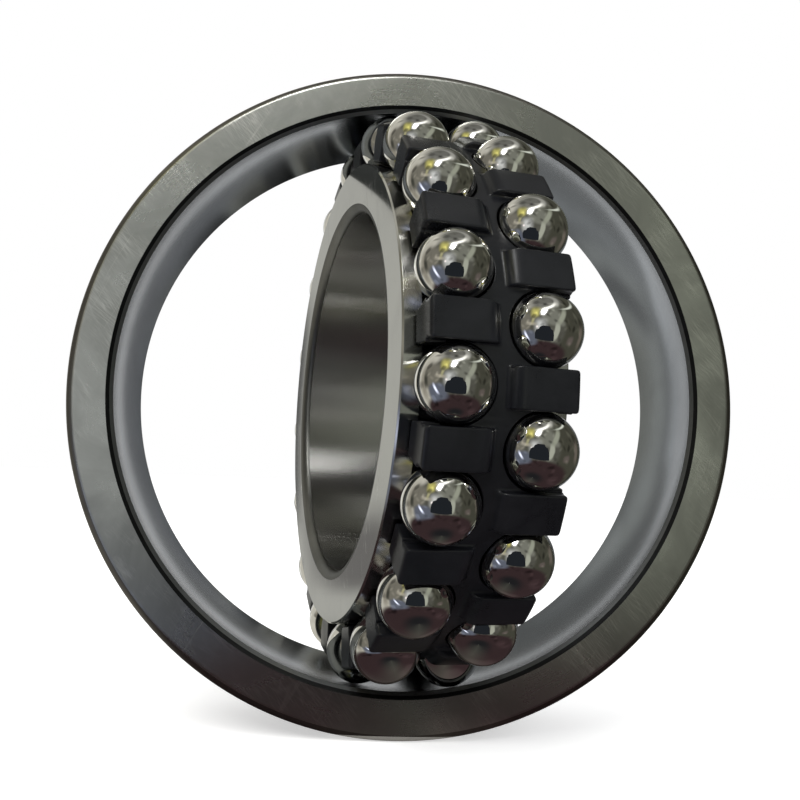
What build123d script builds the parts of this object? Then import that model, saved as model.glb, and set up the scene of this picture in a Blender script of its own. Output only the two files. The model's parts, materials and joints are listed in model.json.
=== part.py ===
from build123d import *
from math import atan2, cos, degrees, radians, sin, sqrt
import os

# Double-row self-aligning ball bearing, boundary size 50 x 90 x 20 mm.
# All lengths are millimetres and all angles are degrees.
# The origin is the bearing centre, the outer ring turns about Y and +Z is up.
# The inner ring, the cage and the balls are swivelled together about Z.

# Boundary sizes and walls. The walls are measured where each ring's raceway is
# deepest, and with these balls the inner wall leaves a bore of 50 mm.
OUTSIDE_DIAMETER = 90.0
WIDTH = 20.0
OUTER_WALL = 4.95
INNER_WALL = 5.911
CORNER_RADIUS = 1.2

# How far the inner assembly is swivelled out of the outer ring, and how far
# the first ball of the left row stands above the side that faces -Y
SWIVEL_ANGLE = 78.8
FIRST_BALL_ANGLE = -3.4

# Balls and raceways
BALL_DIAMETER = 8.731
BALLS_PER_ROW = 17
ROW_OFFSET = 5.1
RACEWAY_EDGE_CHAMFER = 0.8
RUNNING_CLEARANCE = 0.02
GROOVE_CONFORMITY = 0.52

# Inner ring between and beside its two grooves
LAND_HEIGHT = 0.8
LAND_CHAMFER = 0.2
RIB_HEIGHT = 2.4

# One-piece moulded cage, set in from both faces of the inner ring
CAGE_INSET = 1.4
CAGE_RIM_ABOVE_PITCH = 2.0
CAGE_LAND_GAP = 0.4
CAGE_RIB_GAP = 0.35
POCKET_CLEARANCE = 0.2
POCKET_SIDE_CLEARANCE = 0.15
SNAP_LIP = 0.25
CAGE_END_ROUND = 0.7
CAGE_WAIST_WIDTH = 1.4
CAGE_WAIST_DEPTH = 0.9

# Sizes that follow from the ones above
outside_radius = OUTSIDE_DIAMETER / 2
half_width = WIDTH / 2
ball_radius = BALL_DIAMETER / 2
raceway_radius = outside_radius - OUTER_WALL
ball_centre_radius = raceway_radius - ball_radius - RUNNING_CLEARANCE
pitch_radius = sqrt(ball_centre_radius**2 - ROW_OFFSET**2)
contact_angle = degrees(atan2(ROW_OFFSET, pitch_radius))
ball_step = 360 / BALLS_PER_ROW

# Each groove's arc is a little wider than the ball and touches it, less the
# running clearance, on the line from the ball to the bearing centre.
groove_radius = GROOVE_CONFORMITY * BALL_DIAMETER
groove_shift = groove_radius - ball_radius - RUNNING_CLEARANCE
groove_centre_radius = pitch_radius + groove_shift * cos(radians(contact_angle))
groove_centre_offset = ROW_OFFSET + groove_shift * sin(radians(contact_angle))
groove_bottom_radius = groove_centre_radius - groove_radius
bore_radius = groove_bottom_radius - INNER_WALL
land_radius = groove_bottom_radius + LAND_HEIGHT
rib_radius = groove_bottom_radius + RIB_HEIGHT


def groove_half_width(radius):
    """Half the width of a groove where its arc reaches the given radius."""
    return sqrt(groove_radius**2 - (groove_centre_radius - radius) ** 2)


def swivelled(angle):
    """Axis direction and profile plane of a ring swivelled by an angle about Z.

    In the profile plane, X is the radius and Y runs along the ring's axis.
    """
    turn = radians(angle)
    axis = Vector(-sin(turn), -cos(turn), 0)
    profile = Plane(origin=(0, 0, 0), x_dir=(0, 0, 1), z_dir=(cos(turn), -sin(turn), 0))
    return axis, profile


ring_axis, ring_profile = swivelled(0)
inner_axis, inner_profile = swivelled(SWIVEL_ANGLE)
ring_turn = Axis((0, 0, 0), ring_axis)
inner_turn = Axis((0, 0, 0), inner_axis)

# Direction from which ball angles are counted, square to both swivelled axes
towards_front = Vector(-inner_axis.Y, inner_axis.X, 0)
rows = {
    "left": {"side": 1, "start": FIRST_BALL_ANGLE},
    "right": {"side": -1, "start": FIRST_BALL_ANGLE + ball_step / 2},
}
os.makedirs("parts", exist_ok=True)

# Outer ring: one spherical raceway about the bearing centre serves both rows
raceway_half_width = half_width - RACEWAY_EDGE_CHAMFER
raceway_edge_radius = sqrt(raceway_radius**2 - raceway_half_width**2)
face_inner_radius = raceway_edge_radius + RACEWAY_EDGE_CHAMFER
with BuildPart() as outer_ring:
    with BuildSketch(ring_profile) as ring_section:
        with BuildLine():
            Polyline(
                (raceway_edge_radius, raceway_half_width),
                (face_inner_radius, half_width),
                (outside_radius, half_width),
                (outside_radius, -half_width),
                (face_inner_radius, -half_width),
                (raceway_edge_radius, -raceway_half_width),
            )
            ThreePointArc(
                (raceway_edge_radius, -raceway_half_width),
                (raceway_radius, 0),
                (raceway_edge_radius, raceway_half_width),
            )
        make_face()
        fillet(ring_section.vertices().group_by(Axis.X)[-1], CORNER_RADIUS)
    revolve(axis=ring_turn)
outer_ring.part.label = "outer_ring"
export_step(outer_ring.part, "parts/outer_ring.step")

# Inner ring: two ball grooves with a rib between them and a low land beside each
land_edge = groove_centre_offset + groove_half_width(land_radius)
rib_edge = groove_centre_offset - groove_half_width(rib_radius)
with BuildPart() as inner_ring:
    with BuildSketch(inner_profile) as inner_section:
        with BuildLine():
            Polyline(
                (land_radius, -land_edge),
                (land_radius, LAND_CHAMFER - half_width),
                (land_radius - LAND_CHAMFER, -half_width),
                (bore_radius, -half_width),
                (bore_radius, half_width),
                (land_radius - LAND_CHAMFER, half_width),
                (land_radius, half_width - LAND_CHAMFER),
                (land_radius, land_edge),
            )
            ThreePointArc(
                (land_radius, land_edge),
                (groove_bottom_radius, groove_centre_offset),
                (rib_radius, rib_edge),
            )
            Line((rib_radius, rib_edge), (rib_radius, -rib_edge))
            ThreePointArc(
                (rib_radius, -rib_edge),
                (groove_bottom_radius, -groove_centre_offset),
                (land_radius, -land_edge),
            )
        make_face()
        fillet(inner_section.vertices().group_by(Axis.X)[0], CORNER_RADIUS)
    revolve(axis=inner_turn)
inner_ring.part.label = "inner_ring"
export_step(inner_ring.part, "parts/inner_ring.step")

# Pocket for one ball, open towards +Z, with X pointing out of the bearing.
# Below the ball's middle it is a round cup with two lips, so that the ball snaps
# in from the side. Above the middle it is a plain U-shaped slot.
cage_half_width = half_width - CAGE_INSET
cup_radius = ball_radius + POCKET_CLEARANCE
slot_half_width = ball_radius + POCKET_SIDE_CLEARANCE
lip_half_width = ball_radius - SNAP_LIP
slot_length = cage_half_width - ROW_OFFSET + 1
pocket_depth = 2 * ball_radius
with BuildPart() as pocket:
    Sphere(cup_radius)
    with BuildSketch(Plane.YZ):
        Circle(slot_half_width)
        with Locations((0, slot_length / 2)):
            Rectangle(2 * slot_half_width, slot_length)
    extrude(amount=pocket_depth)
    with BuildSketch(Plane.YZ):
        with Locations((0, slot_length / 2)):
            Rectangle(2 * lip_half_width, slot_length)
    extrude(amount=-pocket_depth)

# Cage: one moulded ring between the balls of both rows, waisted in the middle
cage_rim_radius = pitch_radius + CAGE_RIM_ABOVE_PITCH
cage_land_radius = land_radius + CAGE_LAND_GAP
cage_rib_radius = rib_radius + CAGE_RIB_GAP
cage_rib_half_width = groove_centre_offset - groove_half_width(cage_land_radius) + CAGE_RIB_GAP
with BuildPart() as cage:
    with BuildSketch(inner_profile) as cage_section:
        with BuildLine():
            Polyline(
                (cage_land_radius, -cage_half_width),
                (cage_rim_radius, -cage_half_width),
                (cage_rim_radius, -CAGE_WAIST_WIDTH / 2),
                (cage_rim_radius - CAGE_WAIST_DEPTH, 0),
                (cage_rim_radius, CAGE_WAIST_WIDTH / 2),
                (cage_rim_radius, cage_half_width),
                (cage_land_radius, cage_half_width),
                (cage_land_radius, cage_rib_half_width),
                (cage_rib_radius, cage_rib_half_width),
                (cage_rib_radius, -cage_rib_half_width),
                (cage_land_radius, -cage_rib_half_width),
                close=True,
            )
        make_face()
        rim_corners = cage_section.vertices().group_by(Axis.X)[-1].sort_by(Axis.Y)
        fillet([rim_corners[0], rim_corners[-1]], CAGE_END_ROUND)
    revolve(axis=inner_turn)
    for row in rows.values():
        side = row["side"]
        row_plane = Plane(origin=(0, 0, 0), x_dir=towards_front, z_dir=inner_axis * side)
        with Locations(row_plane):
            with PolarLocations(pitch_radius, BALLS_PER_ROW, start_angle=side * row["start"]):
                with Locations((0, 0, ROW_OFFSET)):
                    add(pocket.part, mode=Mode.SUBTRACT)
cage.part.label = "cage"
export_step(cage.part, "parts/cage.step")

# Balls: each row has its own nodes, and each ball's pole is its rolling axis
for name, row in rows.items():
    side = row["side"]
    for number in range(BALLS_PER_ROW):
        angle = row["start"] + number * ball_step
        outwards = towards_front * cos(radians(angle)) + Vector(0, 0, 1) * sin(radians(angle))
        centre = outwards * pitch_radius + inner_axis * (side * ROW_OFFSET)
        tilt = radians(contact_angle) * side
        rolling_axis = inner_axis * cos(tilt) - outwards * sin(tilt)
        with BuildPart(Plane(origin=centre, z_dir=rolling_axis)) as ball:
            Sphere(ball_radius)
        ball.part.label = f"{name}_ball_{number + 1:02d}"
        export_step(ball.part, f"parts/{ball.part.label}.step")
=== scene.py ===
# %% [markdown]
# # A self-aligning ball bearing, drawn open
# The inner ring, its cage and its two rows of balls are swivelled nearly square
# to the outer ring, as a seller shows such a bearing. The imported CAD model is
# the fixed frame: it says where every ring and ball is, and which body carries
# it. This lesson dresses that frame with fine surfaces and real finishes.

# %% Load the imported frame
import json
import math

import bpy
import numpy as np
from mathutils import Matrix, Vector


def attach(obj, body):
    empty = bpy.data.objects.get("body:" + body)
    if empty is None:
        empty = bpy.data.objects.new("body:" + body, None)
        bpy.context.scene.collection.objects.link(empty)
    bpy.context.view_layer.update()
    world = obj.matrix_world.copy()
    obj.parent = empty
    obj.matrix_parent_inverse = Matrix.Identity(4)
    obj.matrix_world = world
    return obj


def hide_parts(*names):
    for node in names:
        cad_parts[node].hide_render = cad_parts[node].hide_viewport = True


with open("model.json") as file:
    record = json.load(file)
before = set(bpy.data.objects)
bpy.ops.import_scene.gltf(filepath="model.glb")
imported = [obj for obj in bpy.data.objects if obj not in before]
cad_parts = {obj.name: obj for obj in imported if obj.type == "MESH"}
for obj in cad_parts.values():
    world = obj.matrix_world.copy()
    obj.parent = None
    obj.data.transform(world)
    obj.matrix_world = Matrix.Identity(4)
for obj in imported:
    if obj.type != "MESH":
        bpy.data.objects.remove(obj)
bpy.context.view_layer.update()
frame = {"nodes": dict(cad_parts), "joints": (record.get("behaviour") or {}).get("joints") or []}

# %% [markdown]
# ## The camera
# The camera stands close in front of the bearing, a little left of its centre
# and a little below it, and looks slightly up and to the right. Its place, its
# three angles and its focal length came from fitting the rims of both rings
# and the outlines of the balls. A close camera is what makes the near balls
# look so much larger than the far rim.

# %% Place the camera
IMAGE_SIZE = 800
SENSOR = 36.0
CAMERA_PLACE = Vector((-0.01234, -0.12447, -0.01186))
PAN, TILT, ROLL = math.radians(5.24), math.radians(9.48), math.radians(2.58)
FOCAL_PIXELS = 862.0
CENTRE_COLUMN, CENTRE_ROW = 400.0, 331.6


def linked(name, data):
    """A new object of the scene that carries the given data."""
    made = bpy.data.objects.new(name, data)
    bpy.context.scene.collection.objects.link(made)
    return made


def camera_matrix(place, pan, tilt, roll):
    """World matrix of a camera at a place.

    Its line of sight starts along +Y, turns right by pan, rises by tilt, and the
    camera then rolls about that line.
    """
    level = math.cos(tilt)
    ahead = Vector((math.sin(pan) * level, math.cos(pan) * level, math.sin(tilt)))
    right = ahead.cross(Vector((0, 0, 1))).normalized()
    up = right.cross(ahead)
    right, up = (
        math.cos(roll) * right + math.sin(roll) * up,
        math.cos(roll) * up - math.sin(roll) * right,
    )
    columns = (right, up, -ahead, place)
    return Matrix([[column[row] for column in columns] for row in range(3)] + [[0, 0, 0, 1]])


camera_data = bpy.data.cameras.new("camera")
camera = linked("camera", camera_data)
camera.matrix_world = camera_matrix(CAMERA_PLACE, PAN, TILT, ROLL)
camera_data.sensor_width = SENSOR
camera_data.lens = FOCAL_PIXELS / IMAGE_SIZE * SENSOR
camera_data.shift_x = (IMAGE_SIZE / 2 - CENTRE_COLUMN) / IMAGE_SIZE
camera_data.shift_y = (CENTRE_ROW - IMAGE_SIZE / 2) / IMAGE_SIZE
camera_data.clip_start, camera_data.clip_end = 0.01, 10.0
bpy.context.scene.camera = camera
print("lens", round(camera_data.lens, 2), "mm")

# %% [markdown]
# ## The sizes that everything shares
# All lengths are metres. The two directions of the swivelled assembly come from
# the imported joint: its axis points out of the left face of the inner ring. Ball
# places and rolling axes are read from the ball joints too, so the looks can
# never drift away from the frame.

# %% Name the sizes and directions
MM = 0.001
HALF_WIDTH = 10.0 * MM
OUTSIDE_RADIUS = 45.0 * MM
CORNER_RADIUS = 1.2 * MM
RACEWAY_RADIUS = 40.05 * MM
RACEWAY_EDGE_CHAMFER = 0.8 * MM
BORE_RADIUS = 25.0 * MM
BALL_RADIUS = 4.3655 * MM
GROOVE_RADIUS = 4.54 * MM
GROOVE_CENTRE_RADIUS = 35.451 * MM
GROOVE_CENTRE_OFFSET = 5.1221 * MM
LAND_RADIUS = 31.711 * MM
RIB_RADIUS = 33.311 * MM

joints = {joint["name"]: joint for joint in frame["joints"]}
inner_axis = np.array(joints["inner_spin"]["axis"], float)
inner_axis /= np.linalg.norm(inner_axis)
ring_axis = np.array([0.0, -1.0, 0.0])
upwards = np.array([0.0, 0.0, 1.0])

# %% [markdown]
# ## A helper that turns a profile into a ring
# A lathe or a ring grinder makes a part by turning one profile about an axis.
# The same idea makes the mesh: a list of corners and arcs, each corner broken
# by a small round, is sampled once and carried round in equal steps. Real steel
# never has a perfectly sharp edge, and the thin bright line that such a small
# round catches is what makes an edge look like metal.

# %% Sample a profile
def arc(centre, radius, start, end, count):
    """Points on a circle: centre + radius * (cos a, sin a), a in equal steps of radians."""
    angles = np.linspace(start, end, count)
    return np.array(centre) + radius * np.column_stack((np.cos(angles), np.sin(angles)))


def rounded(corners, rounds, steps=5):
    """Closed profile whose corner i is replaced by an arc of radius rounds[i].

    For a corner of turning angle t the arc touches both sides at the distance
    radius * tan(t / 2) from the corner. A round of 0 keeps the corner as it is.
    """
    corners = np.asarray(corners, float)
    points = []
    for index, corner in enumerate(corners):
        radius = rounds[index]
        before = corners[index - 1] - corner
        after = corners[(index + 1) % len(corners)] - corner
        if radius == 0:
            points.append(corner[None])
            continue
        before /= np.linalg.norm(before)
        after /= np.linalg.norm(after)
        inside = math.acos(float(np.clip(before @ after, -1, 1)))
        reach = radius / math.tan(inside / 2)
        bisector = (before + after) / np.linalg.norm(before + after)
        middle = corner + bisector * radius / math.sin(inside / 2)
        first, last = corner + before * reach - middle, corner + after * reach - middle
        turn = math.atan2(first[0] * last[1] - first[1] * last[0], first @ last)
        angles = math.atan2(first[1], first[0]) + np.linspace(0, turn, steps)
        points.append(middle + radius * np.column_stack((np.cos(angles), np.sin(angles))))
    return np.concatenate(points)


# %% [markdown]
# ## From arrays to a mesh
# Every surface below is a grid of points worked out as whole numpy arrays. One
# small function hands the points and the faces to Blender. The normals are
# given too, because each is known exactly from the surface's own formula, and a
# mirror finish shows the smallest error in them.

# %% Put arrays into a mesh
RING_SEGMENTS = 512


def make_piece(name, points, faces, normals, material, body, node):
    """A smooth mesh object from arrays of points and normals and a list of faces."""
    mesh = bpy.data.meshes.new(name)
    mesh.from_pydata(points.tolist(), [], faces)
    mesh.update()
    mesh.polygons.foreach_set("use_smooth", np.ones(len(mesh.polygons), bool))
    if normals is not None:
        mesh.normals_split_custom_set_from_vertices(normals.tolist())
    mesh.materials.append(material)
    piece = linked(name, mesh)
    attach(piece, body)
    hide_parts(node)
    return piece


def quads_of(index):
    """Quads that join the neighbours in a grid of point numbers."""
    corners = (index[:-1, :-1], index[1:, :-1], index[1:, 1:], index[:-1, 1:])
    return np.stack(corners, -1).reshape(-1, 4)


def turned(profile, axis, segments):
    """Surface of revolution of a closed profile of (radius, along) points.

    point(i, j) = radius_i * (a cos t_j + b sin t_j) + along_i * axis, where a and b
    are two directions square to the axis. A normal is the profile's own normal,
    weighted by the lengths of the two sides that meet there, turned the same way.
    """
    a = np.cross(upwards, axis)
    a /= np.linalg.norm(a)
    b = np.cross(axis, a)
    side = np.roll(profile, -1, axis=0) - profile
    across = np.column_stack((side[:, 1], -side[:, 0]))
    normal = across + np.roll(across, 1, axis=0)
    radius, along = profile.T
    twice_area = np.sum(radius * np.roll(along, -1) - np.roll(radius, -1) * along)
    if twice_area < 0:
        normal = -normal
    normal /= np.linalg.norm(normal, axis=1)[:, None]
    angles = np.linspace(0, 2 * math.pi, segments, endpoint=False)
    spoke = np.cos(angles)[:, None] * a + np.sin(angles)[:, None] * b
    points = radius[:, None, None] * spoke + along[:, None, None] * axis
    normals = normal[:, 0, None, None] * spoke + normal[:, 1, None, None] * axis
    index = np.arange(len(profile) * segments).reshape(len(profile), segments)
    faces = quads_of(np.pad(index, ((0, 1), (0, 1)), mode="wrap"))
    return points.reshape(-1, 3), faces, normals.reshape(-1, 3)


def outward(points, faces, normals):
    """The faces in the order whose own normals agree with the given point normals."""
    corner = points[faces[:, :3]]
    face_normal = np.cross(corner[:, 1] - corner[:, 0], corner[:, 2] - corner[:, 0])
    agree = np.sum(face_normal * normals[faces[:, 0]])
    return faces if agree > 0 else faces[:, ::-1]


def make_ring(ring_name, profile, axis, material):
    """A turned ring, and for each face its distances from the axis and from the middle plane."""
    points, faces, normals = turned(profile, axis, RING_SEGMENTS)
    faces = outward(points, faces, normals)
    slot = ring_name + "_steel"
    ring = make_piece(slot, points, faces.tolist(), normals, material, ring_name, ring_name)
    middle = points[faces].mean(1)
    along = middle @ axis
    radius = np.linalg.norm(middle - along[:, None] * axis, axis=1)
    print(ring_name, len(points), "points", len(faces), "faces")
    return ring, radius, np.abs(along)


def paint(piece, layers):
    """Gives the faces in the mask of each (material, mask) layer its material, the last on top."""
    index = np.zeros(len(piece.data.polygons), np.int32)
    for number, (material, mask) in enumerate(layers, 1):
        piece.data.materials.append(material)
        index[mask] = number
    piece.data.polygons.foreach_set("material_index", index)
    piece.data.update()


# %% [markdown]
# ## Shared effects as node groups
# Three effects appear in more than one finish: the fine marks of a grinding
# wheel, scattered handling scratches, and soft smudges left by oil. Each is a
# node group with its own inputs, so that every steel can use it with its own
# strength. The groups put out only masks that change over the surface.

# %% Build the node groups
SCRATCH_STRETCH = 0.05
BARE_SHARE, BARE_CONTRAST = 0.47, 7.0
CLOUD_START, CLOUD_CONTRAST = 0.34, 3.0


def node(tree, kind, **settings):
    """A new node of a kind, with settings such as operation."""
    made = tree.nodes.new(kind)
    for key, value in settings.items():
        setattr(made, key, value)
    return made


def feed(tree, value, socket):
    """Feeds an input socket with another node's output, or with a constant."""
    if isinstance(value, bpy.types.NodeSocket):
        tree.links.new(value, socket)
    else:
        socket.default_value = value


def group(name, output, **inputs):
    """An empty node group from a Vector and the given inputs to one mask, and its two end nodes."""
    tree = bpy.data.node_groups.new(name, "ShaderNodeTree")
    tree.interface.new_socket("Vector", in_out="INPUT", socket_type="NodeSocketVector")
    for label, value in inputs.items():
        kind = "NodeSocketVector" if isinstance(value, tuple) else "NodeSocketFloat"
        tree.interface.new_socket(label, in_out="INPUT", socket_type=kind).default_value = value
    tree.interface.new_socket(output, in_out="OUTPUT", socket_type="NodeSocketFloat")
    return tree, node(tree, "NodeGroupInput"), node(tree, "NodeGroupOutput")


def math_node(tree, operation, *values, clamp=False):
    """Output of a Math node whose inputs are sockets or numbers."""
    made = node(tree, "ShaderNodeMath", operation=operation, use_clamp=clamp)
    for value, socket in zip(values, made.inputs):
        feed(tree, value, socket)
    return made.outputs[0]


def vector_node(tree, operation, first, second=None):
    """Output of a Vector Math node whose inputs are sockets or constants."""
    made = node(tree, "ShaderNodeVectorMath", operation=operation)
    feed(tree, first, made.inputs[0])
    if second is not None:
        feed(tree, second, made.inputs["Scale" if operation == "SCALE" else 1])
    return made.outputs["Value" if operation in ("DOT_PRODUCT", "LENGTH") else "Vector"]


def noise(tree, vector, **values):
    """Factor of a Noise Texture over a vector, with settings that are sockets or numbers."""
    made = node(tree, "ShaderNodeTexNoise")
    for key, value in {"Vector": vector, **values}.items():
        feed(tree, value, made.inputs[key])
    return made.outputs["Fac"]


def grinding_group():
    """Marks of a grinding wheel that run round an axis.

    The radius and the place along the axis are the only inputs of the noise, so
    that every mark is a full circle: noise(radius * density, along * density).
    A soft noise as the third input makes the marks fade in and out.
    """
    tree, start, end = group("grinding marks", "Marks", Axis=(0, 1, 0), Density=9000.0, Waviness=0.4)
    place, axis, density, waviness = start.outputs[:4]
    along = vector_node(tree, "DOT_PRODUCT", place, axis)
    radial = vector_node(tree, "SUBTRACT", place, vector_node(tree, "SCALE", axis, along))
    radius = vector_node(tree, "LENGTH", radial)
    soft = noise(tree, place, Scale=90.0, Detail=2.0)
    together = node(tree, "ShaderNodeCombineXYZ")
    factors = ((radius, density), (along, density), (soft, waviness))
    for factor, socket in zip(factors, together.inputs):
        tree.links.new(math_node(tree, "MULTIPLY", *factor), socket)
    tree.links.new(noise(tree, together.outputs[0], Scale=1.0, Detail=3.0), end.inputs["Marks"])
    return tree


def scratches_group():
    """Thin straight scratches, broken up by a soft noise.

    The noise is stretched twenty times along one direction, and a scratch runs
    where it passes through its middle value: 1 - |noise - 0.5| / width.
    """
    tree, start, end = group("scratches", "Mask", Turn=(0, 0.6, 0), Density=500.0, Width=0.02)
    place, turn, density, width = start.outputs[:4]
    turned_way = node(tree, "ShaderNodeMapping")
    tree.links.new(place, turned_way.inputs["Vector"])
    tree.links.new(turn, turned_way.inputs["Rotation"])
    stretched = vector_node(tree, "MULTIPLY", turned_way.outputs[0], (1.0, 1.0, SCRATCH_STRETCH))
    fine = noise(tree, stretched, Scale=density, Detail=1.0)
    patches = noise(tree, place, Scale=160.0, Detail=3.0)
    away = math_node(tree, "ABSOLUTE", math_node(tree, "SUBTRACT", fine, 0.5))
    lines = math_node(tree, "SUBTRACT", 1.0, math_node(tree, "DIVIDE", away, width), clamp=True)
    scratched = math_node(tree, "SUBTRACT", patches, BARE_SHARE)
    scratched = math_node(tree, "MULTIPLY", scratched, BARE_CONTRAST, clamp=True)
    tree.links.new(math_node(tree, "MULTIPLY", lines, scratched), end.inputs["Mask"])
    return tree


def smudge_group():
    """Soft clouds of many sizes, from 0 to 1: the film of oil that fingers leave."""
    tree, start, end = group("smudges", "Cloud", Size=70.0)
    place, size = start.outputs[:2]
    cloud = noise(tree, place, Scale=size, Detail=6.0, Roughness=0.62, Distortion=0.7)
    shaped = math_node(tree, "SUBTRACT", cloud, CLOUD_START)
    tree.links.new(math_node(tree, "MULTIPLY", shaped, CLOUD_CONTRAST, clamp=True), end.inputs["Cloud"])
    return tree


grinding_marks, scratches, smudges = grinding_group(), scratches_group(), smudge_group()
print("node groups", [g.name for g in bpy.data.node_groups])

# %% [markdown]
# ## The steels
# All the steel is one metal, and most of what differs is how it was finished. The side
# faces are ground with a coarse wheel and then handled, so they are satin with
# scratches, and the scratches are painted lighter: a painted glint. The raceway
# and the bore are ground fine and show long soft reflections. The land beside the
# balls and the balls are polished. The corner rounds of both rings are turned and
# rougher than the faces. Their darker colours, and the near-black of the small
# bevel beside the raceway, are painted shade for the dark reflections they show.
# One function builds such a steel, and its numbers say how it was finished and
# how much shade or glint is painted into its colour.

# %% Make a steel
BUMP_DISTANCE = 0.00002
# light colour of the scratches: a painted glint
SCRATCH_GLINT_COLOR = (0.86, 0.86, 0.82)
SCRATCH_DEPTH = 0.6


def blank_material(name):
    """A new material, its node tree and its Principled shader."""
    material = bpy.data.materials.new(name)
    material.use_nodes = True
    return material, material.node_tree, material.node_tree.nodes["Principled BSDF"]


def placed_group(tree, kind, where, **values):
    """Mask of one of the shared groups over the coordinates, with its own values."""
    made = node(tree, "ShaderNodeGroup", node_tree=kind)
    for key, value in {"Vector": where, **values}.items():
        feed(tree, value, made.inputs[key])
    return made.outputs[0]


def mixed(tree, factor, first, second):
    """Colour between two colours or sockets, by a factor socket."""
    made = node(tree, "ShaderNodeMix", data_type="RGBA")
    tree.links.new(factor, made.inputs["Factor"])
    for value, socket in ((first, made.inputs[6]), (second, made.inputs[7])):
        feed(tree, (*value, 1.0) if isinstance(value, tuple) else value, socket)
    return made.outputs[2]


def across_marks(tree, axis):
    """Direction along the ring's axis, square to the grinding marks, for the shader's Tangent."""
    normal = node(tree, "ShaderNodeTexCoord").outputs["Normal"]
    round_way = vector_node(tree, "CROSS_PRODUCT", normal, axis)
    to_world = node(tree, "ShaderNodeVectorTransform", vector_type="VECTOR", convert_from="OBJECT",
                    convert_to="WORLD")
    tree.links.new(vector_node(tree, "CROSS_PRODUCT", round_way, normal), to_world.inputs[0])
    return to_world.outputs[0]


def bump(tree, shader, height, strength):
    """Tilts the shader's normal by the slope of a height socket."""
    made = node(tree, "ShaderNodeBump")
    made.inputs["Strength"].default_value = strength
    made.inputs["Distance"].default_value = BUMP_DISTANCE
    tree.links.new(height, made.inputs["Height"])
    tree.links.new(made.outputs[0], shader.inputs["Normal"])


def steel(name, color, dull, roughness, spread, axis, density=3000.0, marks_depth=0.4,
          scratch_glint=0.0, turns=(), brushed=0.0, edge_tint=1.0):
    """A bare steel: ground round an axis, with scratches whose glint is painted lighter, and an oily film
    over it.
    """
    material, tree, shader = blank_material(name)
    shader.inputs["Metallic"].default_value = 1.0
    shader.inputs["Anisotropic"].default_value = brushed
    shader.inputs["Specular Tint"].default_value = (edge_tint, edge_tint, edge_tint, 1.0)
    where = node(tree, "ShaderNodeTexCoord").outputs["Object"]
    marks = placed_group(tree, grinding_marks, where, Axis=axis, Density=density)
    film = placed_group(tree, smudges, where)
    tone = mixed(tree, film, color, dull)
    height = math_node(tree, "MULTIPLY", marks, marks_depth)
    for turn, fine, thick in turns:
        scratch = placed_group(tree, scratches, where, Turn=turn, Density=fine, Width=thick)
        # the lighter colour of a scratch is a painted glint; its groove is the bump
        tone = mixed(tree, math_node(tree, "MULTIPLY", scratch, scratch_glint), tone, SCRATCH_GLINT_COLOR)
        height = math_node(tree, "MULTIPLY_ADD", scratch, -SCRATCH_DEPTH, height)
    tree.links.new(tone, shader.inputs["Base Color"])
    rough = math_node(tree, "MULTIPLY_ADD", film, spread, roughness)
    rough = math_node(tree, "MULTIPLY_ADD", marks, spread * 0.5, rough)
    tree.links.new(rough, shader.inputs["Roughness"])
    bump(tree, shader, height, 0.35)
    if brushed:
        tree.links.new(across_marks(tree, axis), shader.inputs["Tangent"])
    return material


ring_way, inner_way = tuple(ring_axis), tuple(inner_axis)
# turn in radians, density and width of each set of scratches
SIDE_SCRATCHES = (
    ((0, 0.75, 0), 420.0, 0.011), ((0, -0.5, 0), 380.0, 0.008),
    ((0, 0.6, 0), 1900.0, 0.05), ((0, 0.95, 0), 2600.0, 0.05),
)
side_steel = steel(
    "ground_side_face", (0.56, 0.57, 0.54), (0.39, 0.396, 0.376), 0.22, 0.10, ring_way,
    scratch_glint=0.30, turns=SIDE_SCRATCHES)
# the corner round is rougher from turning; its darker colour and low edge tint are painted shade for the
# dark outline it reflects
corner_painted_shade = steel(
    "turned_corner_painted_shade", (0.24, 0.23, 0.21), (0.17, 0.16, 0.15), 0.34, 0.12, ring_way, edge_tint=0.6)
chamfer_steel = steel(
    "raceway_chamfer", (0.30, 0.31, 0.32), (0.22, 0.23, 0.24), 0.42, 0.08, ring_way, edge_tint=0.5)
# near-black with little edge tint: a painted dark reflection on the small bevel beside the raceway, not a
# tone of the steel
edge_painted_dark = steel(
    "edge_painted_dark_reflection", (0.05, 0.052, 0.055), (0.03, 0.03, 0.032), 0.4, 0.1, ring_way, edge_tint=0.2)
raceway_steel = steel(
    "honed_raceway", (0.235, 0.253, 0.268), (0.20, 0.215, 0.227), 0.17, 0.02, ring_way,
    density=4000.0, marks_depth=0.0, brushed=0.6, edge_tint=0.8)
inner_steel = steel(
    "ground_inner_face", (0.50, 0.50, 0.475), (0.45, 0.45, 0.43), 0.055, 0.03, inner_way,
    marks_depth=0.08, scratch_glint=0.2, turns=(((0.4, 0, 0), 500.0, 0.006),), edge_tint=0.7)
# rougher from turning; its darker colour and low edge tint are painted shade
bore_corner_painted_shade = steel(
    "turned_bore_corner_painted_shade", (0.24, 0.24, 0.23), (0.20, 0.20, 0.19), 0.34, 0.08, inner_way, edge_tint=0.5)
bore_steel = steel(
    "honed_bore", (0.56, 0.555, 0.54), (0.53, 0.525, 0.51), 0.22, 0.01, inner_way,
    density=6000.0, marks_depth=0.0, brushed=1.0)
land_steel = steel(
    "polished_land", (0.62, 0.62, 0.60), (0.58, 0.58, 0.56), 0.15, 0.01, inner_way,
    density=6000.0, marks_depth=0.02, brushed=1.0)

# %% [markdown]
# ## The outer ring
# One turned profile: a plain outside, two side faces with 1.2 mm corner rounds,
# a small chamfer, and a raceway that is part of a sphere about the centre of
# the bearing. That sphere is the reason why the inner ring can swivel at all.

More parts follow.
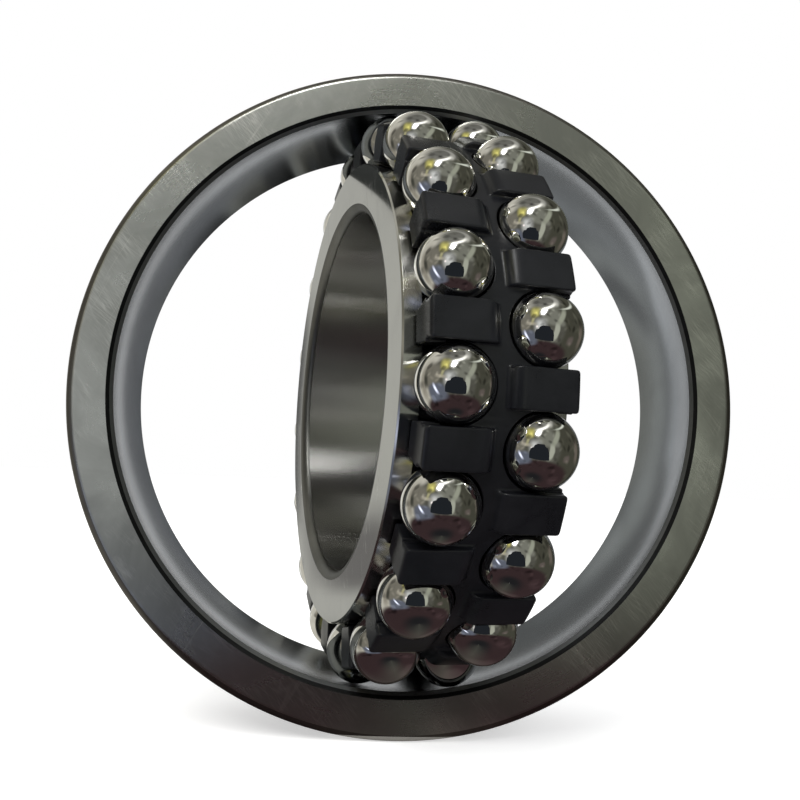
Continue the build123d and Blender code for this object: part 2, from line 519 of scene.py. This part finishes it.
# %% Turn the outer ring
EDGE_ROUND = 0.12 * MM
BURR_WIDTH = 0.38 * MM
CORNER_START = OUTSIDE_RADIUS - 0.8 * CORNER_RADIUS
raceway_half = HALF_WIDTH - RACEWAY_EDGE_CHAMFER
raceway_edge = math.sqrt(RACEWAY_RADIUS**2 - raceway_half**2)
face_inner = raceway_edge + RACEWAY_EDGE_CHAMFER
reach = math.asin(raceway_half / RACEWAY_RADIUS)
raceway = arc((0, 0), RACEWAY_RADIUS, reach, -reach, 41)[1:-1]
burr_radius, burr_half = face_inner - BURR_WIDTH, HALF_WIDTH - BURR_WIDTH
outer_corners = [
    (raceway_edge, -raceway_half), (burr_radius, -burr_half), (face_inner, -HALF_WIDTH),
    (OUTSIDE_RADIUS, -HALF_WIDTH), (OUTSIDE_RADIUS, HALF_WIDTH),
    (face_inner, HALF_WIDTH), (burr_radius, burr_half), (raceway_edge, raceway_half), *raceway,
]
side_rounds = [EDGE_ROUND, 0, EDGE_ROUND, CORNER_RADIUS]
outer_rounds = side_rounds + side_rounds[::-1] + [0] * len(raceway)
outer_profile = rounded(outer_corners, outer_rounds, steps=7)
outer_ring, radius, wide = make_ring("outer_ring", outer_profile, ring_axis, side_steel)
# the corner rounds and the small bevel beside the raceway take darker colours: painted shade
paint(outer_ring, [
    (raceway_steel, (wide < raceway_half) & (radius < RACEWAY_RADIUS)),
    (corner_painted_shade, radius > CORNER_START),
    (chamfer_steel, (wide > raceway_half) & (radius < face_inner)),
    (edge_painted_dark, (wide > burr_half) & (radius < face_inner + 0.5 * EDGE_ROUND)),
])

# %% [markdown]
# ## The inner ring
# Two grooves for the balls, a rib between them and a low land on each side. The
# land is only a strip, yet it shows: its polish mirrors the balls beside it.

# %% Turn the inner ring
LAND_CHAMFER = 0.2 * MM
SMALL_ROUND = 0.04 * MM
GROOVES_START = 30 * MM
BORE_SKIN = 0.01 * MM


def groove_half_width(radius):
    """Half width of a groove where its arc reaches a radius from the ring's axis."""
    return math.sqrt(GROOVE_RADIUS**2 - (GROOVE_CENTRE_RADIUS - radius) ** 2)


land_edge = GROOVE_CENTRE_OFFSET + groove_half_width(LAND_RADIUS)
rib_edge = GROOVE_CENTRE_OFFSET - groove_half_width(RIB_RADIUS)
land_angle = math.asin((land_edge - GROOVE_CENTRE_OFFSET) / GROOVE_RADIUS)
rib_angle = math.asin((GROOVE_CENTRE_OFFSET - rib_edge) / GROOVE_RADIUS)
groove = arc(
    (GROOVE_CENTRE_RADIUS, GROOVE_CENTRE_OFFSET), GROOVE_RADIUS,
    math.pi - land_angle, math.pi + rib_angle, 21)
inner_corners = [
    (BORE_RADIUS, -HALF_WIDTH), (BORE_RADIUS, HALF_WIDTH),
    (LAND_RADIUS - LAND_CHAMFER, HALF_WIDTH), (LAND_RADIUS, HALF_WIDTH - LAND_CHAMFER),
    *groove, *(groove[::-1] * (1, -1)),
    (LAND_RADIUS, LAND_CHAMFER - HALF_WIDTH), (LAND_RADIUS - LAND_CHAMFER, -HALF_WIDTH),
]
land_rounds = [SMALL_ROUND, SMALL_ROUND]
groove_rounds = [SMALL_ROUND] + [0] * (len(groove) - 2) + [SMALL_ROUND]
bore_rounds = [CORNER_RADIUS, CORNER_RADIUS]
inner_rounds = bore_rounds + land_rounds + groove_rounds + groove_rounds + land_rounds
inner_profile = rounded(inner_corners, inner_rounds, steps=6)
inner_ring, radius, wide = make_ring("inner_ring", inner_profile, inner_axis, inner_steel)
# the bore's corner round takes a darker colour: painted shade
paint(inner_ring, [
    (bore_steel, radius < BORE_RADIUS + BORE_SKIN),
    (land_steel, (radius > LAND_RADIUS - 0.6 * LAND_CHAMFER)
     | (radius > GROOVES_START) & (wide < HALF_WIDTH - LAND_CHAMFER)),
    (bore_corner_painted_shade, (radius > BORE_RADIUS + BORE_SKIN) & (radius < BORE_RADIUS + 0.97 * CORNER_RADIUS)),
])

# %% [markdown]
# ## The balls
# A ball is ground and lapped until it is a mirror. Each one is its own object,
# because each rolls about its own axis, and its mesh has its pole on that axis.
# A ball this smooth needs no texture of its own: what it shows is the room.

# %% Make the balls
def ball_material():
    """Lapped chrome steel: nearly a perfect mirror, with the faintest of smears."""
    material, tree, shader = blank_material("lapped_ball")
    shader.inputs["Metallic"].default_value = 1.0
    where = node(tree, "ShaderNodeTexCoord").outputs["Object"]
    film = placed_group(tree, smudges, where, Size=240.0)
    tree.links.new(mixed(tree, film, (0.80, 0.79, 0.76), (0.76, 0.75, 0.72)), shader.inputs["Base Color"])
    tree.links.new(math_node(tree, "MULTIPLY_ADD", film, 0.02, 0.015), shader.inputs["Roughness"])
    return material


def sphere(centre, axis, radius, around=72, along=36):
    """Sphere with its poles on an axis: centre + radius * (sin p (a cos t + b sin t) + cos p axis)."""
    a = np.cross(axis, np.array([0.3, 0.5, 0.8]))
    a /= np.linalg.norm(a)
    b = np.cross(axis, a)
    polar = np.linspace(0, math.pi, along + 1)[1:-1]
    angle = np.linspace(0, 2 * math.pi, around, endpoint=False)
    ring = np.cos(angle)[:, None] * a + np.sin(angle)[:, None] * b
    unit = np.sin(polar)[:, None, None] * ring + np.cos(polar)[:, None, None] * axis
    unit = np.concatenate([unit.reshape(-1, 3), axis[None], -axis[None]])
    last, pole = (along - 2) * around, (along - 1) * around
    quads = quads_of(np.pad(np.arange(pole).reshape(-1, around), ((0, 0), (0, 1)), mode="wrap"))
    step = np.arange(around)
    on = (step + 1) % around
    caps = [np.stack([np.full(around, pole), step, on], -1),
            np.stack([np.full(around, pole + 1), last + on, last + step], -1)]
    return centre + radius * unit, quads.tolist() + np.concatenate(caps).tolist(), unit


mirror_ball = ball_material()
ball_names = sorted(name for name in frame["nodes"] if "_ball_" in name)
for name in ball_names:
    joint = joints[name + "_roll"]
    axis = np.array(joint["axis"], float)
    axis /= np.linalg.norm(axis)
    points, faces, unit = sphere(np.array(joint["pos_m"], float), axis, BALL_RADIUS)
    make_piece(name + "_lapped", points, faces, unit, mirror_ball, name, name)
print("balls", len(ball_names), "points each", len(points))

# %% [markdown]
# ## The cage
# The cage is one moulded ring with two rows of pockets, staggered by half a
# pitch. Each pocket is a cup that grips its ball below the middle and a plain
# slot above it, open towards the end so that the balls snap in from the side.
# A moulding has rounds everywhere, also where a cup breaks through a face, and
# rounding such curved edges one by one is hard. So the shape is written as one
# number for every point of space: negative inside the plastic, positive
# outside. Taking the larger of two such numbers cuts one shape from another,
# and blending them gives the round for free. The mesh is the surface where that
# number is zero, found on a fine grid over one pitch and repeated 17 times.

# %% Write the cage as a field
BALLS_PER_ROW = 17
PITCH_RADIUS = 35.298 * MM
ROW_OFFSET = 5.1 * MM
CAGE_HALF_WIDTH = 8.6 * MM
CAGE_RIM = 37.298 * MM
CAGE_LAND = 32.111 * MM
CAGE_RIB = 33.661 * MM
CAGE_RIB_HALF_WIDTH = 2.4 * MM
WEB_RIM = 36.2 * MM
PAD_INNER_END = 0.5 * MM
CUP_RADIUS = BALL_RADIUS + 0.12 * MM
SLOT_HALF_WIDTH = BALL_RADIUS + 0.08 * MM
LIP_HALF_WIDTH = BALL_RADIUS - 0.25 * MM
PITCH_ANGLE = 2 * math.pi / BALLS_PER_ROW
LEFT_START = math.radians(-3.4)
RIGHT_START = LEFT_START + PITCH_ANGLE / 2

# widths over which two surfaces blend into a round
CUP_BLEND, POCKET_BLEND = 0.1 * MM, 0.15 * MM
PAD_END_BLEND, PAD_SIDE_BLEND, WEB_BLEND = 1.9 * MM, 0.3 * MM, 0.4 * MM
CAGE_END_BLEND, INSIDE_BLEND = 0.6 * MM, 0.3 * MM


def blend_max(a, b, radius):
    """The larger of two fields, rounded where they cross.

    It is max(a, b) + k^2 / (4 radius), with k = max(radius - |a - b|, 0).
    """
    k = np.maximum(radius - np.abs(a - b), 0)
    return np.maximum(a, b) + k * k / (4 * radius)


def blend_min(a, b, radius):
    """The smaller of two fields, rounded in the same way."""
    return -blend_max(-a, -b, radius)


def from_ball(turn, start):
    """Angle from the middle of the nearest ball of a row that starts at an angle."""
    return (turn - start + PITCH_ANGLE / 2) % PITCH_ANGLE - PITCH_ANGLE / 2


def pocket_field(turn, along, radius, side, start):
    """Negative inside a pocket: a cup and its mouth below the ball's middle, a slot above it."""
    angle = from_ball(turn, start)
    across = radius * np.sin(angle)
    out = radius * np.cos(angle) - PITCH_RADIUS
    reach_out = side * along - ROW_OFFSET
    cup = np.sqrt(across**2 + out**2 + reach_out**2) - CUP_RADIUS
    round_end = np.sqrt(across**2 + reach_out**2) - SLOT_HALF_WIDTH
    slot = np.where(reach_out > 0, np.abs(across) - SLOT_HALF_WIDTH, round_end)
    slot = np.maximum(slot, -out)
    mouth = np.maximum(np.maximum(np.abs(across) - LIP_HALF_WIDTH, -reach_out), out)
    return blend_min(blend_min(cup, slot, CUP_BLEND), mouth, POCKET_BLEND)


def pad_field(turn, along, radius, side, start):
    """Negative inside the pads of a row: between the slots, with a large round at the inner end."""
    across = radius * np.sin(from_ball(turn, start))
    top = blend_max(radius - CAGE_RIM, PAD_INNER_END - side * along, PAD_END_BLEND)
    return blend_max(top, SLOT_HALF_WIDTH - np.abs(across), PAD_SIDE_BLEND)


def both_rows(field, *place):
    """The smaller value of a field of the left row and of the right row."""
    return np.minimum(field(*place, 1, LEFT_START), field(*place, -1, RIGHT_START))


def cage_field(*place):
    """Negative inside the cage: a turned web with proud pads, less the pockets of both rows.

    A place is a turn, a distance along the axis and a radius.
    """
    turn, along, radius = place
    wide = np.abs(along)
    outside = blend_min(radius - WEB_RIM, both_rows(pad_field, *place), WEB_BLEND)
    inside = np.maximum(CAGE_LAND - radius, np.minimum(CAGE_RIB - radius, CAGE_RIB_HALF_WIDTH - wide))
    blank = blend_max(blend_max(outside, wide - CAGE_HALF_WIDTH, CAGE_END_BLEND), inside, INSIDE_BLEND)
    return blend_max(blank, -both_rows(pocket_field, *place), POCKET_BLEND)


# %% [markdown]
# ### Find the surface of the field
# Surface nets put one point in every grid cell that the surface crosses and one
# quad round every grid edge that it cuts. A few steps down the field's slope
# then carry each point exactly onto the surface. The grid closes on itself after
# one pitch, so the copies join without a seam.

# %% Mesh one pitch and repeat it
def surface_net(field, turn_steps, along, radius):
    """Points (in grid units) and quads of the zero surface of a field.

    The grid repeats in its first direction. The laps say which corners of a quad
    belong to the copy before.
    """
    inside = field < 0
    shape = (turn_steps, len(along) - 1, len(radius) - 1)
    wrapped = np.concatenate([field, field[:1]], 0)


    def block(corner):
        """The field at one corner of every cell."""
        return wrapped[tuple(slice(start, start + size) for start, size in zip(corner, shape))]

    corner_sum = np.zeros((*shape, 3))
    crossings = np.zeros(shape)
    offsets = [(i, j, k) for i in (0, 1) for j in (0, 1) for k in (0, 1)]
    for first in offsets:
        for way in range(3):
            if first[way]:
                continue
            second = tuple(v + (n == way) for n, v in enumerate(first))
            a, b = block(first), block(second)
            cut = (a < 0) != (b < 0)
            share = np.where(cut, a / np.where(cut, a - b, 1), 0)
            place = np.zeros((*shape, 3)) + np.array(first, float)
            place[..., way] += share
            corner_sum += np.where(cut[..., None], place, 0)
            crossings += cut
    cells = np.argwhere(crossings > 0)
    number = -np.ones(shape, int)
    number[tuple(cells.T)] = np.arange(len(cells))
    points = cells + corner_sum[tuple(cells.T)] / crossings[tuple(cells.T)][:, None]
    quads, laps = [], []
    for way in range(3):
        ahead = np.roll(inside, -1, 0) if way == 0 else inside
        low = inside if way == 0 else np.take(inside, range(inside.shape[way] - 1), way)
        high = ahead if way == 0 else np.take(inside, range(1, inside.shape[way]), way)
        found = np.argwhere(low != high)
        u, v = (way + 1) % 3, (way + 2) % 3
        keep = np.ones(len(found), bool)
        for other in (u, v):
            if other != 0:
                keep &= (found[:, other] > 0) & (found[:, other] < shape[other])
        found = found[keep]
        ring, lap = [], []
        for du, dv in ((0, 0), (1, 0), (1, 1), (0, 1)):
            cell = found.copy()
            cell[:, u] -= du
            cell[:, v] -= dv
            lap.append(-(cell[:, 0] < 0).astype(int))
            cell[:, 0] %= turn_steps
            ring.append(number[tuple(cell.T)])
        ring, lap = np.stack(ring, -1), np.stack(lap, -1)
        flip = ~low[tuple(found.T)]
        ring[flip], lap[flip] = ring[flip, ::-1], lap[flip, ::-1]
        quads.append(ring)
        laps.append(lap)
    return points, np.concatenate(quads), np.concatenate(laps)


CELL = 0.16 * MM
SLOPE_STEP = 0.01 * MM
SLOPE_ROUNDS = 4
turn_steps = int(round(PITCH_ANGLE * PITCH_RADIUS / CELL))
along_grid = np.arange(-CAGE_HALF_WIDTH - 1.5 * CELL, CAGE_HALF_WIDTH + 2.5 * CELL, CELL)
radius_grid = np.arange(CAGE_LAND - 1.5 * CELL, CAGE_RIM + 2.5 * CELL, CELL)
turn_grid = np.arange(turn_steps) * PITCH_ANGLE / turn_steps
grid = np.meshgrid(turn_grid, along_grid, radius_grid, indexing="ij")
net_points, net_quads, net_laps = surface_net(cage_field(*grid), turn_steps, along_grid, radius_grid)
turn = net_points[:, 0] * PITCH_ANGLE / turn_steps
along = along_grid[0] + net_points[:, 1] * CELL
radius = radius_grid[0] + net_points[:, 2] * CELL


def slope(turn, along, radius):
    """Gradient of the cage's field in the directions (round, along, out), by central differences."""
    place = np.stack([turn, along, radius])
    slopes = []
    for way, step in enumerate((SLOPE_STEP / radius, SLOPE_STEP, SLOPE_STEP)):
        move = np.zeros_like(place)
        move[way] = step
        slopes.append((cage_field(*(place + move)) - cage_field(*(place - move))) / (2 * SLOPE_STEP))
    return np.stack(slopes, -1)


for _ in range(SLOPE_ROUNDS):
    gradient = slope(turn, along, radius)
    length = np.maximum((gradient**2).sum(1), 0.25)
    move = -cage_field(turn, along, radius)[:, None] * gradient / length[:, None]
    move = np.clip(move, -0.4 * CELL, 0.4 * CELL)
    turn, along, radius = turn + move[:, 0] / radius, along + move[:, 1], radius + move[:, 2]

count = len(turn)
copies = np.arange(BALLS_PER_ROW)
all_turns = (turn[None] + copies[:, None] * PITCH_ANGLE).ravel()
front = np.array([-inner_axis[1], inner_axis[0], 0.0])
spokes = np.cos(all_turns)[:, None] * front + np.sin(all_turns)[:, None] * upwards
cage_points = (np.tile(radius, BALLS_PER_ROW)[:, None] * spokes
               + np.tile(along, BALLS_PER_ROW)[:, None] * inner_axis)
cage_laps = (copies[:, None, None] + net_laps[None]) % BALLS_PER_ROW
cage_faces = (net_quads[None] + cage_laps * count).reshape(-1, 4)
print("cage cells", grid[0].size, "points", len(cage_points), "quads", len(cage_faces))


# %% [markdown]
# ### Thin the mesh and keep its normals
# A fine grid puts as many points on a flat pad as on a tight round. Blender's
# Decimate modifier takes them away where the surface is nearly flat. Afterwards
# every normal is worked out again from the field itself, so that the pads stay
# perfectly smooth.

# %% Thin the cage
def cage_normals(mesh):
    """Point normals from the slope of the field, turned back into the row's frame."""
    place = np.zeros(len(mesh.vertices) * 3)
    mesh.vertices.foreach_get("co", place)
    place = place.reshape(-1, 3)
    way_along = place @ inner_axis
    flat = place - way_along[:, None] * inner_axis
    way_out = np.linalg.norm(flat, axis=1)
    angle = np.arctan2(flat @ upwards, flat @ front)
    local = slope(angle, way_along, way_out)
    out = flat / way_out[:, None]
    round_way = np.cos(angle)[:, None] * upwards - np.sin(angle)[:, None] * front
    normal = local[:, 0, None] * round_way + local[:, 1, None] * inner_axis + local[:, 2, None] * out
    return normal / np.linalg.norm(normal, axis=1)[:, None]


def plastic_material():
    """Black glass-filled plastic: satin, with a fine grain and a soft film of oil."""
    material, tree, shader = blank_material("moulded_cage")
    where = node(tree, "ShaderNodeTexCoord").outputs["Object"]
    film = placed_group(tree, smudges, where, Size=160.0)
    grain = noise(tree, where, Scale=6000.0, Detail=3.0)
    color = mixed(tree, film, (0.0045, 0.005, 0.0065), (0.009, 0.0095, 0.012))
    tree.links.new(color, shader.inputs["Base Color"])
    rough = math_node(tree, "MULTIPLY_ADD", film, 0.10, 0.22)
    tree.links.new(math_node(tree, "MULTIPLY_ADD", grain, 0.08, rough), shader.inputs["Roughness"])
    shader.inputs["Specular IOR Level"].default_value = 0.4
    bump(tree, shader, grain, 0.25)
    return material


plastic = plastic_material()
cage = make_piece(
    "cage_moulding", cage_points, cage_faces.tolist(), None, plastic, "cage", "cage")
TRIANGLES_WANTED = 180000
thin = cage.modifiers.new("thin", "DECIMATE")
thin.ratio = min(1.0, TRIANGLES_WANTED / (2 * len(cage_faces)))
graph = bpy.context.evaluated_depsgraph_get()
thinned = bpy.data.meshes.new_from_object(cage.evaluated_get(graph))
cage.modifiers.clear()
cage.data = thinned
thinned.polygons.foreach_set("use_smooth", np.ones(len(thinned.polygons), bool))
thinned.normals_split_custom_set_from_vertices(cage_normals(thinned).tolist())
print("cage thinned to", len(thinned.polygons), "faces")

# %% [markdown]
# ## Floor and white background
# The bearing stands on its outer ring on a pale floor. The photographer's
# background is plain white, so the world and the floor are white to the camera
# and in reflections, while the light that falls on the bearing stays at an
# ordinary level. The floor keeps the soft shadow of the bearing.

# %% Make the floor and the world
def white_for_camera(tree):
    """A mask that is 1 for rays that come from the camera, a mirror or glass."""
    path = node(tree, "ShaderNodeLightPath")
    mask = math_node(tree, "ADD", path.outputs["Is Camera Ray"], path.outputs["Is Glossy Ray"], clamp=True)
    return math_node(tree, "ADD", mask, path.outputs["Is Transmission Ray"], clamp=True)


FLOOR_HALF = 3.0
FLOOR_GLOW = 0.5
floor_mesh = bpy.data.meshes.new("floor")
floor_level = -OUTSIDE_RADIUS
corners = [(x * FLOOR_HALF, y * FLOOR_HALF, floor_level) for x, y in ((-1, -1), (1, -1), (1, 1), (-1, 1))]
floor_mesh.from_pydata(corners, [], [(0, 1, 2, 3)])
floor = linked("floor", floor_mesh)
floor_paint, tree, shader = blank_material("pale_floor")
shader.inputs["Base Color"].default_value = (0.88, 0.88, 0.88, 1)
shader.inputs["Roughness"].default_value = 0.9
glow = node(tree, "ShaderNodeEmission")
glow.inputs["Color"].default_value = (1, 1, 1, 1)
tree.links.new(math_node(tree, "MULTIPLY", white_for_camera(tree), FLOOR_GLOW), glow.inputs["Strength"])
both = node(tree, "ShaderNodeAddShader")
tree.links.new(shader.outputs[0], both.inputs[0])
tree.links.new(glow.outputs[0], both.inputs[1])
tree.links.new(both.outputs[0], tree.nodes["Material Output"].inputs["Surface"])
floor_mesh.materials.append(floor_paint)

world = bpy.data.worlds.new("white studio")
bpy.context.scene.world = world
world.use_nodes = True
tree = world.node_tree
sky = tree.nodes["Background"]
sky.inputs["Color"].default_value = (1, 1, 1, 1)
WORLD_LIGHT = 0.7
strength = math_node(tree, "MULTIPLY_ADD", white_for_camera(tree), 1 - WORLD_LIGHT, WORLD_LIGHT)
tree.links.new(strength, sky.inputs["Strength"])

# %% [markdown]
# ## What the mirrors see
# Polished steel is drawn almost entirely by what stands round it. The room in
# front of the bearing is dim and cluttered: a bright window above, a dark shape
# where the camera is held, a brown table below it, pale walls on the left. The
# room is one surface seen from the near balls: in each direction it lies on a
# far dome, or on the table where the direction points down. A table of soft
# patches paints it: first the large ones, then a little clutter, then the small
# clear ones. Only reflections see it. It casts no shadow, and it is open behind
# the bearing, where the background is white.

# %% Paint the room
# azimuth (0 in front, positive to the right), elevation, width, height, roll,
# softness, all in degrees, then the light of the patch
PATCHES = [
    (0, 75, 360, 40, 0, 20, (0.17, 0.17, 0.155)),
    (27, 36, 78, 56, 0, 10, (0.21, 0.215, 0.185)),
    (-130, 5, 80, 120, 0, 14, (0.60, 0.585, 0.52)),
    (-105, 0, 20, 70, 0, 12, (0.34, 0.32, 0.27)),
    (-78, 14, 46, 56, 0, 14, (0.20, 0.19, 0.16)),
    (-96, 4, 12, 26, 10, 8, (0.06, 0.06, 0.05)),
    (-23, 5, 26, 34, 0, 22, (0.74, 0.76, 0.76)),
    (180, 24, 70, 32, 0, 3, (0.30, 0.30, 0.29)),
    (180, -14, 60, 22, 0, 4, (0.46, 0.46, 0.45)),
    (154, 0, 24, 60, 0, 3, (0.40, 0.40, 0.41)),
    (-45, 46, 20, 26, 15, 14, (0.60, 0.56, 0.18)),
    (-50, 13, 26, 8, -6, 6, (0.46, 0.43, 0.36)),
    (-46, 24, 7, 20, -10, 6, (0.46, 0.44, 0.26)),
    (95, 5, 90, 110, 0, 14, (0.065, 0.065, 0.05)),
    (112, 0, 16, 26, 0, 8, (0.15, 0.13, 0.11)),
    (75, -18, 18, 14, 20, 8, (0.13, 0.11, 0.10)),
    (60, 66, 64, 9, 8, 8, (0.42, 0.42, 0.39)),
    (0, -60, 360, 48, 0, 10, (0.042, 0.026, 0.028)),
    (0, -86, 360, 22, 0, 14, (0.016, 0.016, 0.018)),
    (-62, -26, 50, 42, 0, 12, (0.13, 0.145, 0.19)),
    (24, -8, 15, 46, -6, 5, (0.44, 0.46, 0.39)),
    (45, 31, 12, 46, -44, 6, (0.36, 0.38, 0.31)),
    (-66, -18, 5, 20, 22, 5, (1.5, 1.6, 2.0)),
    (-14, 49, 14, 23, -24, 7, (1.2, 1.2, 1.18)),
    (12, 62, 26, 5, 18, 7, (2.2, 2.2, 2.1)),
    (-33, 4, 5, 5, 0, 4, (1.3, 1.2, 1.2)),
    (98, 44, 40, 3, -14, 3, (0.9, 0.95, 0.85)),
    (-155, 3, 15, 52, 0, 2, (0.80, 0.80, 0.75)),
    (-160.6, 3, 5.6, 17, 0, 1.4, (0.19, 0.19, 0.19)),
    (-154, -9.5, 7, 11, 0, 2.5, (0.30, 0.29, 0.285)),
]
CLEAR_PATCHES = 10
BARE_ROOM = (0.10, 0.10, 0.085)
ROOM_RADIUS = 0.6
ROOM_EYE = np.array([0.003, -0.036, 0.0])
TABLE_CLEARANCE = 0.0008
# azimuth, elevation, width and height in degrees, tone, roll
CLUTTER_LIMITS = ((-170, 170), (-60, 80), (3, 13), (3, 15), (0.45, 1.7), (-60, 60))
CLUTTER_SEED, CLUTTER_COUNT, CLUTTER_SOFTNESS = 5, 150, 5
# sideways and upwards in degrees from straight behind
OPEN_SIDEWAYS, OPEN_UPWARDS = (-18, 13), (-4, 9)


def direction(azimuth, elevation):
    """Unit vector towards an azimuth and an elevation in radians, azimuth 0 being -Y."""
    flat = np.cos(elevation)
    return np.stack([np.sin(azimuth) * flat, -np.cos(azimuth) * flat, np.sin(elevation)], -1)


def patch_cover(azimuth, elevation, patch):
    """How much a patch covers each direction: 1 inside its outline, falling to 0 over its softness.

    The outline is |2u / width|^3 + |2v / height|^3 = 1, a rectangle with round corners.
    """
    around, up, width, height, roll, soft = (math.radians(v) for v in patch[:6])
    u = (azimuth - around + math.pi) % (2 * math.pi) - math.pi
    u, v = u * np.cos(elevation if width < math.pi else 0), elevation - up
    u, v = u * math.cos(roll) + v * math.sin(roll), v * math.cos(roll) - u * math.sin(roll)
    reach = ((2 * np.abs(u) / width) ** 3 + (2 * np.abs(v) / height) ** 3) ** (1 / 3)
    outside = (reach - 1) * min(width, height) / 2
    share = np.clip(0.5 - outside / soft, 0, 1)
    return share * share * (3 - 2 * share)


def covered(light, azimuth, elevation, patches):
    """Light after patches are laid over it one by one."""
    for patch in patches:
        cover = patch_cover(azimuth, elevation, patch)[..., None]
        light = light * (1 - cover) + cover * np.array(patch[6])
    return light


def room_light(azimuth, elevation):
    """Light of the room in each direction: large patches, seeded clutter, then the clear patches."""
    light = np.ones((*azimuth.shape, 3)) * BARE_ROOM
    light = covered(light, azimuth, elevation, PATCHES[:-CLEAR_PATCHES])
    random = np.random.default_rng(CLUTTER_SEED)
    for _ in range(CLUTTER_COUNT):
        *place, tone, roll = [random.uniform(*limits) for limits in CLUTTER_LIMITS]
        cover = patch_cover(azimuth, elevation, (*place, roll, CLUTTER_SOFTNESS))[..., None]
        light = light * (1 + (tone - 1) * cover)
    return covered(light, azimuth, elevation, PATCHES[-CLEAR_PATCHES:])


def mirrored_only(name, corners, quads, light):
    """A glowing mesh that only reflections see, in one colour or in one for each corner."""
    mesh = bpy.data.meshes.new(name)
    mesh.from_pydata(corners, [], quads)
    material, tree, shader = blank_material(name)
    tree.nodes.remove(shader)
    glow = node(tree, "ShaderNodeEmission")
    if isinstance(light, tuple):
        glow.inputs["Color"].default_value = (*light, 1)
    else:
        mesh.attributes.new("light", "FLOAT_COLOR", "POINT").data.foreach_set("color", light.ravel())
        painted = node(tree, "ShaderNodeAttribute", attribute_name="light")
        tree.links.new(painted.outputs["Color"], glow.inputs["Color"])
    tree.links.new(glow.outputs[0], tree.nodes["Material Output"].inputs["Surface"])
    mesh.materials.append(material)
    made = linked(name, mesh)
    for ray_kind in ("camera", "diffuse", "transmission", "volume_scatter", "shadow"):
        setattr(made, "visible_" + ray_kind, False)
    return made


azimuth, elevation = np.meshgrid(
    np.radians(np.linspace(-180, 180, 289)), np.radians(np.linspace(-89.9, 90, 145)), indexing="ij"
)
ray = direction(azimuth, elevation)
table_level = floor_level + TABLE_CLEARANCE
far = np.where(ray[..., 2] < 0, table_level / np.minimum(ray[..., 2], -1e-6), ROOM_RADIUS)
room_points = ROOM_EYE + ray * np.minimum(far, ROOM_RADIUS)[..., None]
index = np.arange(azimuth.size).reshape(azimuth.shape)
room_quads = quads_of(index)
from_eye = room_points.reshape(-1, 3)[room_quads].mean(1) - ROOM_EYE
sideways = np.degrees(np.arctan2(from_eye[:, 0], from_eye[:, 1]))
upwards_of_eye = np.degrees(np.arctan2(from_eye[:, 2], np.hypot(from_eye[:, 0], from_eye[:, 1])))
is_open = (
    (sideways > OPEN_SIDEWAYS[0]) & (sideways < OPEN_SIDEWAYS[1])
    & (upwards_of_eye > OPEN_UPWARDS[0]) & (upwards_of_eye < OPEN_UPWARDS[1])
)
light = np.concatenate([room_light(azimuth, elevation), np.ones((*azimuth.shape, 1))], -1)
room = mirrored_only("room", room_points.reshape(-1, 3).tolist(), room_quads[~is_open].tolist(), light)
print("room", len(room.data.polygons), "faces")

# %% [markdown]
# The camera and the hands that hold it are so close that every ball mirrors
# them, large and dark, each ball from another side. A small dark card just
# beside the camera's place does the same, and the camera doesn't see the card.
# The window is a bright pane of its own, so that the renderer aims at it and
# the steels show it with less speckle.

# %% Hold a dark card by the camera and hang the window
CARD_DEPTH = -0.100
CARD_COLOR = (0.017, 0.020, 0.025)
CARD_OUTLINE = [
    (-0.048, -0.0440), (0.032, -0.0440), (0.029, -0.018), (0.024, -0.003), (0.017, 0.001), (0.014, 0.009),
    (-0.008, 0.012), (-0.020, 0.008), (-0.024, 0.001), (-0.036, -0.002), (-0.044, -0.016),
]
WINDOW_SIZE, WINDOW_ROLL, WINDOW_CORNERS = (11.0, 19.0), math.radians(-24), 32
WINDOW_PLACE, WINDOW_RADIUS, WINDOW_COLOR = (-14.0, 49.0), 0.58, (12.0, 12.0, 11.8)


def card(name, corners, color):
    """A flat glowing card that only reflections see."""
    return mirrored_only(name, corners, [tuple(range(len(corners)))], color)


def window_corners():
    """Corners of the window on a sphere about the eye of the room.

    In degrees, (x, y) = size / 2 * (cos t, sin t) with both powers 2/3 of their
    own sign: a rectangle with round corners. It is rolled, and moved to its place.
    """
    t = np.linspace(0, 2 * np.pi, WINDOW_CORNERS + 1)[:-1]
    x, y = (
        size / 2 * np.sign(wave) * np.abs(wave) ** (2 / 3)
        for size, wave in zip(WINDOW_SIZE, (np.cos(t), np.sin(t)))
    )
    right = x * math.cos(WINDOW_ROLL) - y * math.sin(WINDOW_ROLL)
    up = np.radians(WINDOW_PLACE[1] + x * math.sin(WINDOW_ROLL) + y * math.cos(WINDOW_ROLL))
    around = np.radians(WINDOW_PLACE[0] + right / np.cos(up))
    return (ROOM_EYE + WINDOW_RADIUS * direction(around, up)).tolist()


card("camera_card", [(x, CARD_DEPTH, z) for x, z in CARD_OUTLINE], CARD_COLOR)
card("window", window_corners(), WINDOW_COLOR)

# %% [markdown]
# ## The lamps
# One broad soft lamp from above and the front, a little to the left, and a
# weaker one from the right. They are large, so that the shadows stay soft, and
# their level is ordinary: a mid grey comes out as that grey.

# %% Light it
def lamp(name, place, size, power, color):
    """A square area lamp at a place, turned towards the bearing."""
    data = bpy.data.lights.new(name, "AREA")
    data.shape = "SQUARE"
    data.size, data.energy, data.color = size, power, color
    made = linked(name, data)
    made.location = place
    made.rotation_euler = (-Vector(place)).to_track_quat("-Z", "Y").to_euler()
    made.visible_camera = False
    made.visible_glossy = False


lamp("key lamp", (-0.35, -0.55, 0.65), 0.5, 5.0, (1.0, 0.99, 0.96))
lamp("fill lamp", (0.6, -0.35, 0.3), 0.5, 2.0, (0.96, 0.98, 1.0))

bpy.context.scene.view_settings.view_transform = "Standard"
